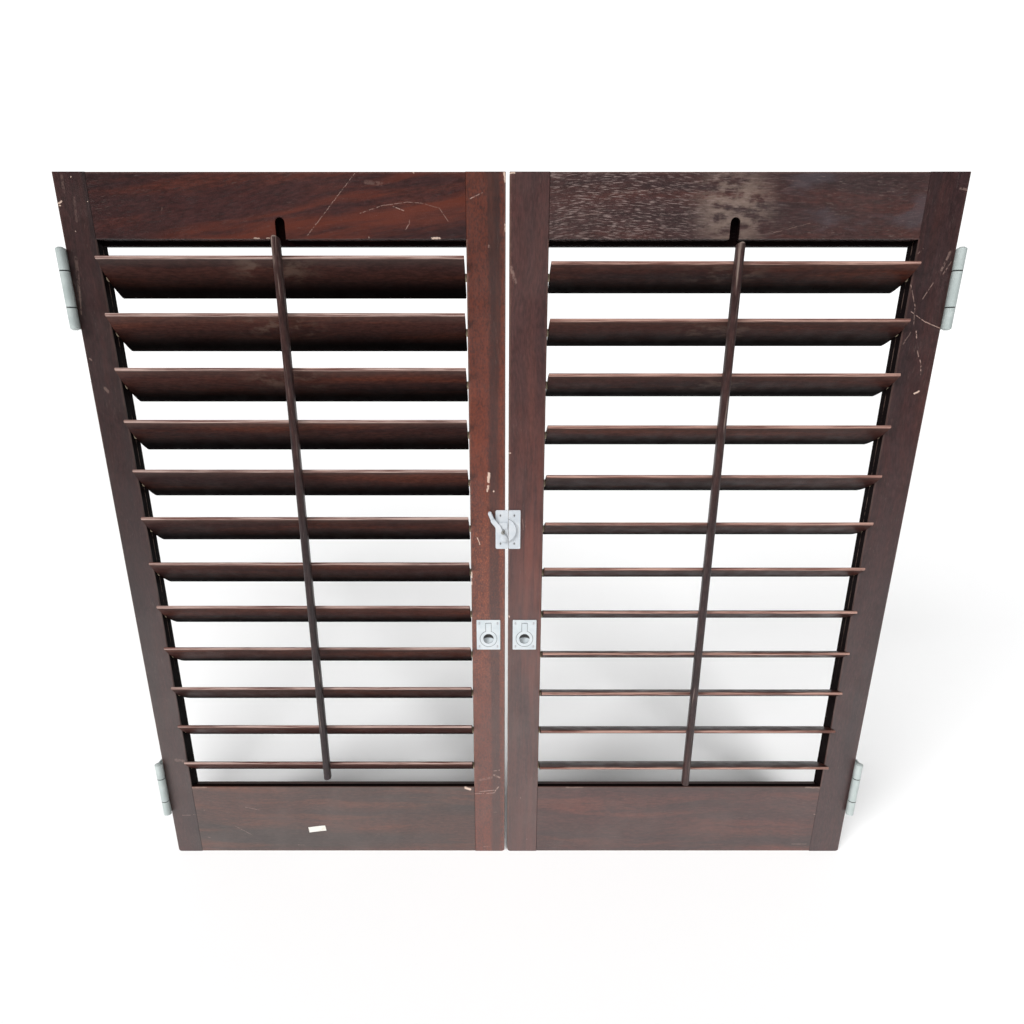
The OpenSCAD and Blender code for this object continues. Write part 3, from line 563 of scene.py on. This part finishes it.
dress_board(
    "right_meeting_stile", "Z", 1.61, tone(60, 35, 36), tone(76, 42, 40),
    tone(112, 56, 40), figure=0.2, film=0.45, wear=0.4, extra=faint_strips,
    lines=[((0.0, 0.958), (0.006, 0.94), 0.003, 0.4),
           ((0.019, 0.612), (0.021, 0.596), 0.0009, 0.3),
           ((0.023, 0.61), (0.024, 0.6), 0.0007, 0.25),
           ((0.02, 0.115), (0.021, 0.112), 0.0009, 0.6),
           ((0.033, 0.026), (0.033, 0.025), 0.001, 0.6)],
    chips=[((-0.0018, 1.0695), (0.004, 1.0695), 0.0016, 0.9),
           ((-0.002, 0.711), (0.0005, 0.711), 0.0012, 0.9),
           ((-0.001, 0.455), (0.0, 0.453), 0.0012, 0.9)])
print("Stiles dressed")

# %% [markdown]
# ## Louvres
# A louvre is one CAD node with a blade, two nylon pins and a wire staple, so
# one material tells them apart by place. The twelve louvres of a panel are
# equally spaced and tilted alike, so each point is first moved to the middle
# of its own louvre and turned back level: then the front edge, where hands
# have rubbed the stain to pinkish bare wood and a painted highlight lies
# along it, is simply the largest value.
# Hands never reach the back half of the underside, which is painted nearly
# black as shade and mirrors less.

# %% Louvre finish
LOUVRES = 12
LEFT_TILT = 38.0
RIGHT_TILT = 24.5
PITCH = 0.0705
LAST_PIVOT = 0.17125
AXIS_Y = 0.00925
HALF_CHORD = 0.038
HALF_BLADE = 0.245


def louvre_finish(side, middle, tilt, shift, nose_wear_and_highlight):
    """One finish for the twelve louvres of a panel, pins and staples too."""
    f = Finish(side + "_louvre_stain")
    tilt = math.radians(tilt)
    number = f.math("ROUND", f.times(f.add(f.z, -LAST_PIVOT), 1 / PITCH))
    up = f.math("SUBTRACT", f.add(f.z, -LAST_PIVOT), f.times(number, PITCH))
    back = f.add(f.y, -AXIS_Y)
    forward = f.add(f.times(back, -math.cos(tilt)),
                    f.times(up, math.sin(tilt)))
    lift = f.add(f.times(back, math.sin(tilt)), f.times(up, math.cos(tilt)))
    own = f.add(f.times(number, 1.37), shift)
    wave = f.noise(f.join(f.x, own, forward), 4.0, 1.0)
    place = f.join(f.add(forward, f.times(f.add(wave, -0.5), 0.02)), own,
                   f.add(f.x, own))
    colour, grain = mahogany(f, place, tone(52, 32, 31), tone(74, 42, 36),
                             tone(118, 58, 36), 0.35)
    under = f.fade(lift, -0.0005, 0.0005, 1.0, 0.0)
    # Painted shade: the underside darkens toward its back edge and mirrors
    # less there.
    deep = f.fade(f.add(forward, f.times(wave, 0.006)), -0.02, 0.03, 0.05, 1.0)
    shade = f.add(1.0, f.times(under, f.add(deep, -1.0)))
    colour = shaded(f, colour, shade)
    rub = f.noise(stretched(f, place, 60, 1, 9), 1.0, 4.0, 0.6)
    smudge = f.fade(f.noise(stretched(f, place, 70, 1, 34), 1.0, 4.0, 0.6),
                    0.46, 0.64)
    fingers = f.off(f.x, middle - 0.012)
    smudge = f.times(smudge, f.fade(fingers, 0.075, 0.02), under,
                     f.fade(f.z, 0.7, 0.86),
                     f.fade(forward, -0.01, 0.016), 0.5)
    colour = f.blend(smudge, colour, tone(122, 100, 88))
    # Painted reflection: the front of the underside is greyed as if it
    # mirrored the floor.
    grey = f.times(under, f.fade(f.add(forward, f.times(rub, 0.012)),
                                 0.026, 0.044), 0.3)
    colour = f.blend(grey, colour, tone(104, 88, 82))
    # Pale front edge: rubbed bare wood, and a painted highlight along it.
    nose = f.fade(f.add(forward, f.times(f.add(rub, -0.5), 0.0012)),
                  HALF_CHORD - 0.0036, HALF_CHORD - 0.0024)
    thread = f.noise(stretched(f, f.join(up, own, f.add(f.x, own)), 620, 1, 9),
                     1.0, 4.0, 0.7)
    worn = f.blend(f.fade(thread, 0.38, 0.6), tone(112, 72, 64), nose_wear_and_highlight)
    colour = f.blend(f.times(nose, f.fade(rub, 0.25, 0.5, 0.4, 0.95)),
                     colour, worn)
    nylon = f.fade(f.off(f.x, middle), HALF_BLADE + 0.00003,
                   HALF_BLADE + 0.00004)
    wire = f.fade(forward, HALF_CHORD + 0.00004, HALF_CHORD + 0.00006)
    colour = f.blend(nylon, colour, tone(222, 206, 176))
    colour = f.blend(wire, colour, tone(96, 84, 76))
    f.feed(f.shader.inputs["Metallic"], f.times(wire, 0.8))
    mirror = f.add(0.15, f.times(under, f.add(deep, -1.0), 0.14))
    f.feed(f.shader.inputs["Specular IOR Level"], mirror)
    rough = f.fade(f.noise(f.place, 40.0, 3.0), 0.3, 0.7, 0.34, 0.48)
    dull = f.times(under, f.add(1.0, f.times(deep, -1.0)), 0.4)
    rough = f.add(rough, f.times(nose, 0.12), dull)
    return f.finish(colour, rough, grain, GRAIN_DEPTH)


left_louvre = louvre_finish("left", LEFT_MIDDLE, LEFT_TILT, 0.4,
                            tone(204, 176, 166))
right_louvre = louvre_finish("right", RIGHT_MIDDLE, RIGHT_TILT, 3.1,
                             tone(204, 164, 150))
for number in range(1, LOUVRES + 1):
    dress("left_louvre_%02d" % number, left_louvre)
    dress("right_louvre_%02d" % number, right_louvre)
print("Louvres dressed:", 2 * LOUVRES)

# %% [markdown]
# ## Tilt rods
# The rod is what people take hold of, so its round front and its top end are
# rubbed most. They are also painted paler as a highlight.

# %% Tilt rods
def rod_finish(name, shift):
    """Darker wood, rubbed and painted with a highlight on its front and top
    end.
    """
    low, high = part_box(name)
    f = Finish(name + "_stain")
    place = board(f, "Z", shift)
    colour, grain = mahogany(f, place, tone(44, 33, 34), tone(60, 42, 41),
                             tone(90, 52, 40), 0.2)
    # The pale rub on the round front and toward the top doubles as a painted
    # highlight.
    rub = f.noise(stretched(f, place, 420, 260, 11), 1.0, 4.0, 0.6)
    rise = f.fade(f.z, high[2] - 0.14, high[2], 0.0, 0.12)
    front = f.fade(f.y, low[1] + 0.005, low[1] + 0.001)
    worn = f.fade(f.add(rub, rise), 0.6, 0.72)
    worn = f.times(worn, f.add(0.2, f.times(front, 0.4)))
    tip = f.fade(f.z, high[2] - 0.0025, high[2] - 0.0005)
    worn = f.most(worn, f.times(tip, 0.7))
    colour = f.blend(worn, colour, tone(160, 142, 132))
    return f.finish(colour, f.add(0.36, f.times(worn, 0.15)), grain,
                    GRAIN_DEPTH)


for name, shift in (("left_tilt_rod", 2.3), ("right_tilt_rod", 2.9)):
    dress(name, rod_finish(name, shift))
print("Tilt rods dressed: 2")

# %% [markdown]
# ## Painted metal
# Hinges, pulls and fastener were sprayed with pale paint long ago. It has a
# soft orange-peel skin, chalks in patches, and holds grime where no cloth
# gets, round the knuckle joints. Screw slots are drawn dark, and painted shade
# darkens the upper part of the finger bowl and the base plate seen between
# the hook's arms. A mask by depth finds slots and bowls, because there the
# surface lies behind the casting's face. The knuckle joints are found by
# their height, and the seam round each ring by its outline.

# %% Paint
def old_paint(name, clean, chalk, grime, piece_dirt_and_shade):
    """Pale paint in two tones with dirt, and its piece's grime or painted
    shade.
    """
    f = Finish(name)
    patch = f.fade(f.noise(f.place, 45.0, 4.0, 0.6), 0.4, 0.65)
    colour = f.blend(patch, clean, chalk)
    dirt = f.fade(f.noise(f.place, 160.0, 5.0, 0.65), 0.6, 0.8, 0.0, 0.2)
    colour = f.blend(dirt, colour, grime)
    speck = f.fade(f.noise(f.place, 520.0, 2.0), 0.74, 0.8, 0.0, 0.5)
    colour = f.blend(speck, colour, tone(90, 80, 72))
    colour = piece_dirt_and_shade(f, colour)
    rough = f.fade(patch, 0.0, 1.0, 0.34, 0.5)
    peel = f.noise(f.place, 700.0, 2.0)
    return f.finish(colour, rough, peel, 0.00006)


def near_any(f, value, places, reach):
    """1 where the value is close to one of the places."""
    nearest = f.least(*[f.off(value, spot) for spot in places])
    return f.fade(nearest, reach * 0.7, reach, 1.0, 0.0)


# %% Where the grime and the painted shade lie
# Places in metres: the hinges, the hook's pivot as (x, z), the fastener's four
# screws, the heights between the pulls and the fastener, and the two rings.
HINGE_HEIGHTS = (0.9305, 0.1355)
HALF_KNUCKLE = 0.02275
PIVOT = (-0.0102, 0.5925)
FASTENER_FACE = -0.00625
FASTENER_X = (-0.01445, 0.00665)
FASTENER_Z = (0.5742, 0.6178)
PULLS_TO_FASTENER = (0.49, 0.51)
RING_X = (-0.03375, 0.02425)
RING_Z = 0.4162
RING_R = 0.01355
HALF_NECK = 0.0045
NECK_TOP = 0.4433


def knuckle_grime(f, colour):
    """Dark lines where a hinge's knuckles meet."""
    joints = [h + s * HALF_KNUCKLE for h in HINGE_HEIGHTS for s in (-1, 1)]
    line = near_any(f, f.z, joints, 0.0009)
    return f.blend(f.times(line, 0.95), colour, tone(10, 16, 16))


def dark_screw_slots(f, colour):
    """Dark slots, deeper on the fastener's screws above the two pulls."""
    face = f.fade(f.z, *PULLS_TO_FASTENER, -0.00570, -0.00610)
    sunk = f.fade(f.math("SUBTRACT", f.y, face), 0.0, 0.0001)
    heads = [f.vector("DISTANCE", f.place, (x, FASTENER_FACE, z))
             for x in FASTENER_X for z in FASTENER_Z]
    dot = f.fade(f.least(*heads), 0.0008, 0.0014, 0.85, 0.0)
    slit = f.times(sunk, f.fade(f.z, *PULLS_TO_FASTENER, 0.45, 0.8))
    return f.blend(f.most(slit, dot), colour, tone(40, 40, 42))


def pivot_painted_shade(f, colour):
    """Painted shade where the plate shows between the hook's arms, above its
    rivet.
    """
    spot = f.vector("DISTANCE", f.join(f.x, 0.0, f.z),
                    (PIVOT[0], 0.0, PIVOT[1]))
    ragged = f.times(f.noise(f.place, 300.0, 3.0), 0.003)
    shade_patch = f.fade(f.add(spot, ragged), 0.0036, 0.0058, 0.8, 0.0)
    return f.blend(shade_patch, colour, tone(124, 118, 106))


def bowl_shade_and_seams(f, colour):
    """Painted shade in the upper finger hole, a grey band on its wall, dark
    seams.
    """
    # Painted shade: the upper part of the bowl is coloured dark brown.
    sunk = f.fade(f.y, -0.0034, -0.0026)
    upper = f.fade(f.z, 0.4138, 0.4154)
    colour = f.blend(f.times(sunk, upper, 0.94), colour, tone(34, 25, 19))
    edge = f.times(f.fade(f.y, -0.0054, -0.0046), 0.45,
                   f.fade(f.y, -0.0034, -0.0026, 1.0, 0.0))
    colour = f.blend(edge, colour, tone(110, 114, 118))
    aside = f.least(*[f.off(f.x, middle) for middle in RING_X])
    outward = f.vector("DISTANCE", f.join(aside, 0.0, f.z),
                       (0.0, 0.0, RING_Z))
    ring = f.times(near_any(f, outward, (RING_R,), 0.0005),
                   f.fade(f.z, RING_Z + 0.0126, RING_Z + 0.013, 1.0, 0.0))
    neck = f.times(near_any(f, aside, (HALF_NECK,), 0.0005),
                   f.fade(f.z, RING_Z + 0.0122, RING_Z + 0.0126),
                   f.fade(f.z, NECK_TOP, NECK_TOP + 0.0003, 1.0, 0.0))
    top = f.times(near_any(f, f.z, (NECK_TOP,), 0.0004),
                  f.fade(aside, HALF_NECK, HALF_NECK + 0.0003, 1.0, 0.0))
    return f.blend(f.times(f.most(ring, neck, top), 0.6), colour,
                   tone(92, 94, 96))


# %% Metal dressed
hinge_paint = old_paint(
    "hinge_paint", tone(182, 192, 190), tone(196, 205, 203),
    tone(128, 132, 120), knuckle_grime)
fitting_paint = old_paint(
    "fitting_paint", tone(210, 216, 222), tone(222, 226, 230),
    tone(150, 142, 132), pivot_painted_shade)
screw_paint = old_paint(
    "screw_paint", tone(204, 208, 212), tone(216, 219, 222),
    tone(140, 130, 118), dark_screw_slots)
pull_paint = old_paint(
    "pull_paint", tone(211, 219, 223), tone(223, 229, 232),
    tone(150, 142, 130), bowl_shade_and_seams)
for name in ("frame_leaf_left_upper", "frame_leaf_left_lower",
             "frame_leaf_right_upper", "frame_leaf_right_lower",
             "hinge_pins", "left_hinge_leaves", "right_hinge_leaves",
             "left_leaf_screws", "right_leaf_screws"):
    dress(name, hinge_paint)
for name in ("cam_base", "cam_rivet", "cam_hook", "keeper"):
    dress(name, fitting_paint)
for name in ("left_small_screws", "right_small_screws"):
    dress(name, screw_paint)
for name in ("left_pull_plate", "right_pull_plate", "left_pull_pin",
             "right_pull_pin", "left_pull_ring", "right_pull_ring"):
    dress(name, pull_paint)


# %% Wire and dowels
def plain_stuff(name, colour, dirt, rough, metal):
    """A finish for small pieces that are hardly seen."""
    f = Finish(name)
    tint = f.blend(f.noise(f.place, 300.0, 3.0), colour, dirt)
    f.shader.inputs["Metallic"].default_value = metal
    return f.finish(tint, rough, f.noise(f.place, 900.0, 2.0), 0.00003)


wire = plain_stuff("staple_wire", tone(120, 108, 98), tone(70, 56, 48),
                   0.45, 0.8)
dowel = plain_stuff("beech_dowel", tone(196, 160, 116), tone(150, 110, 72),
                    0.7, 0.0)
for name in ("left_rod_staples", "right_rod_staples"):
    dress(name, wire)
for name in ("left_dowels", "right_dowels"):
    dress(name, dowel)
print("Metal, wire and dowels dressed")

# %% [markdown]
# ## Sticker
# A small blank paper label sits on the left bottom rail, a little askew. Paper
# is modelled as a thin sheet with its corners lifting, not as a flat card: a
# plane is cut into a fine grid, bent by moving its corner vertices, and given
# thickness with a Solidify modifier.

# %% Sticker
PAPER_LONG = 0.031
PAPER_HIGH = 0.011
PAPER_THICK = 0.00012

bpy.ops.object.select_all(action="DESELECT")
bpy.ops.mesh.primitive_plane_add(size=1.0, location=(0, 0, 0))
sticker = bpy.context.object
sticker.name = "blank_sticker"
bpy.ops.transform.resize(value=(PAPER_LONG, PAPER_HIGH, 1.0))
bpy.ops.object.mode_set(mode="EDIT")
bpy.ops.mesh.subdivide(number_cuts=15)
bpy.ops.object.mode_set(mode="OBJECT")
bpy.ops.object.transform_apply(location=False, rotation=False, scale=True)
for vertex in sticker.data.vertices:
    sideways = (abs(vertex.co.x) / (PAPER_LONG / 2)) ** 4
    upwards = (abs(vertex.co.y) / (PAPER_HIGH / 2)) ** 2
    curl = 1.0 if vertex.co.x > 0 else 0.4
    vertex.co.z = 0.0001 + 0.0006 * (sideways * upwards) * curl
thick = sticker.modifiers.new("paper", "SOLIDIFY")
thick.thickness = PAPER_THICK
bpy.ops.object.modifier_apply(modifier="paper")
sticker.rotation_euler = (math.radians(90), math.radians(-8), 0)
sticker.location = (-0.343, FRONT - 0.00005, 0.048)
bpy.ops.object.transform_apply(location=True, rotation=True, scale=True)
bpy.ops.object.shade_smooth_by_angle(angle=math.radians(30))
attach(sticker, "left_panel")

f = Finish("label_paper")
fibre = f.noise(f.place, 900.0, 4.0, 0.7)
stain = f.fade(f.noise(f.place, 130.0, 3.0), 0.45, 0.7, 0.0, 0.35)
paper = f.blend(stain, tone(240, 238, 230), tone(214, 204, 184))
sticker.data.materials.append(f.finish(paper, 0.8, fibre, 0.00004))
print("Sticker:", len(sticker.data.polygons), "faces")

# %% [markdown]
# ## Studio
# The photograph is a plain white studio: an overexposed floor, a broad soft
# light from the left front, and a pale shadow behind and to the right. A sun
# with a wide angle gives the same soft shadow at any distance. The room in
# front is dim, so the top rails mirror little and stay deep, while the low
# rails mirror the white floor close by and look hazy. The floor is therefore
# white for the camera, but dies away a couple of metres in front for mirrored
# light.

# %% Floor
bpy.ops.object.select_all(action="DESELECT")
bpy.ops.mesh.primitive_plane_add(size=60, location=(0, 0, 0))
floor = bpy.context.object
floor.name = "studio_floor"
bpy.ops.object.transform_apply(location=True, rotation=True, scale=True)
g = Finish("white_floor")
seen = g.node("ShaderNodeLightPath").outputs["Is Camera Ray"]
near = g.most(g.fade(g.y, -2.8, -1.3, 0.12, 0.92), g.times(seen, 0.92))
near = g.add(near, g.times(g.noise(g.place, 2.0), 0.01))
floor.data.materials.append(g.finish(g.join(near, near, near), 0.9))
g.shader.inputs["Specular IOR Level"].default_value = 0.0

# %% Sky
FRONT_TO_BACK = (-0.7, 0.5)
SKY_STRENGTHS = (0.08, 0.24)
SKY_FOR_CAMERA = 1.15

world = bpy.data.worlds.new("studio_sky")
bpy.context.scene.world = world
world.use_nodes = True
links, made = world.node_tree.links, world.node_tree.nodes
sky = made["Background"]
sky.inputs["Color"].default_value = (1, 1, 1, 1)
way = made.new("ShaderNodeTexCoord")
parts = made.new("ShaderNodeSeparateXYZ")
ramp = made.new("ShaderNodeMapRange")
seen = made.new("ShaderNodeLightPath")
pick = made.new("ShaderNodeMix")
links.new(way.outputs["Generated"], parts.inputs[0])
links.new(parts.outputs[1], ramp.inputs[0])
for socket, number in zip(ramp.inputs[1:5], FRONT_TO_BACK + SKY_STRENGTHS):
    socket.default_value = number
links.new(seen.outputs["Is Camera Ray"], pick.inputs[0])
links.new(ramp.outputs[0], pick.inputs[2])
pick.inputs[3].default_value = SKY_FOR_CAMERA
links.new(pick.outputs[0], sky.inputs["Strength"])
print("Sky and floor ready")

# %% [markdown]
# One pair of suns for everything makes either the dark wood too dark or the
# white floor too grey. So light linking gives the panels their own two suns,
# and the floor two low ones, which the louvres half stop and which therefore
# draw the shadows. Brighter paint on the wood would be the simpler way, but it
# would wash out its stain.

# %% Light links
lit_floor = bpy.data.collections.new("floor_only")
lit_floor.objects.link(floor)
lit_panels = bpy.data.collections.new("all_but_floor")
lit_panels.objects.link(floor)
lit_panels.collection_objects[0].light_linking.link_state = "EXCLUDE"
print("Lights go to:", lit_floor.name, "and", lit_panels.name)


# %% Suns
def soft_sun(name, place, energy, width, lights_up):
    """A wide sun that shines from a direction and shows in no reflection."""
    bpy.ops.object.light_add(type="SUN", location=place)
    sun = bpy.context.object
    sun.name = name
    sun.data.energy = energy
    sun.data.angle = math.radians(width)
    sun.visible_glossy = False
    sun.rotation_euler = Vector(place).to_track_quat("Z", "Y").to_euler()
    sun.light_linking.receiver_collection = lights_up
    print(name, "turned", tuple(round(v, 2) for v in sun.rotation_euler))


soft_sun("side_light", (-1.9, -2.0, 1.2), 2.0, 26, lit_panels)
soft_sun("front_light", (0.1, -2.6, 1.25), 0.9, 56, lit_panels)
soft_sun("floor_light_front", (0.35, -2.0, 0.9), 4.5, 24, lit_floor)
soft_sun("floor_light_side", (-1.3, -1.55, 0.9), 2.95, 24, lit_floor)

# %% [markdown]
# ## Camera
# Row heights of both panels in the photograph give a camera 0.84 m up, 1.05 m
# in front, looking 19.7 degrees down through a wide 24.5 mm lens. The shift
# moves the picture, not the viewpoint, as cropping a wider picture does.

# %% Camera
LOOKS_DOWN = 19.66
FOCAL_PIXELS = 697
PICTURE_PIXELS = 1024
SENSOR = 36

bpy.ops.object.camera_add(location=(-0.0135, -1.04925, 0.8402),
                          rotation=(math.radians(90 - LOOKS_DOWN), 0, 0))
camera = bpy.context.object
camera.data.sensor_width = SENSOR
camera.data.lens = FOCAL_PIXELS / PICTURE_PIXELS * SENSOR
camera.data.shift_x = 0.0107
camera.data.shift_y = 0.0947
bpy.context.scene.camera = camera
bpy.context.scene.view_settings.view_transform = "Standard"
print("Lens:", round(camera.data.lens, 2), "mm")
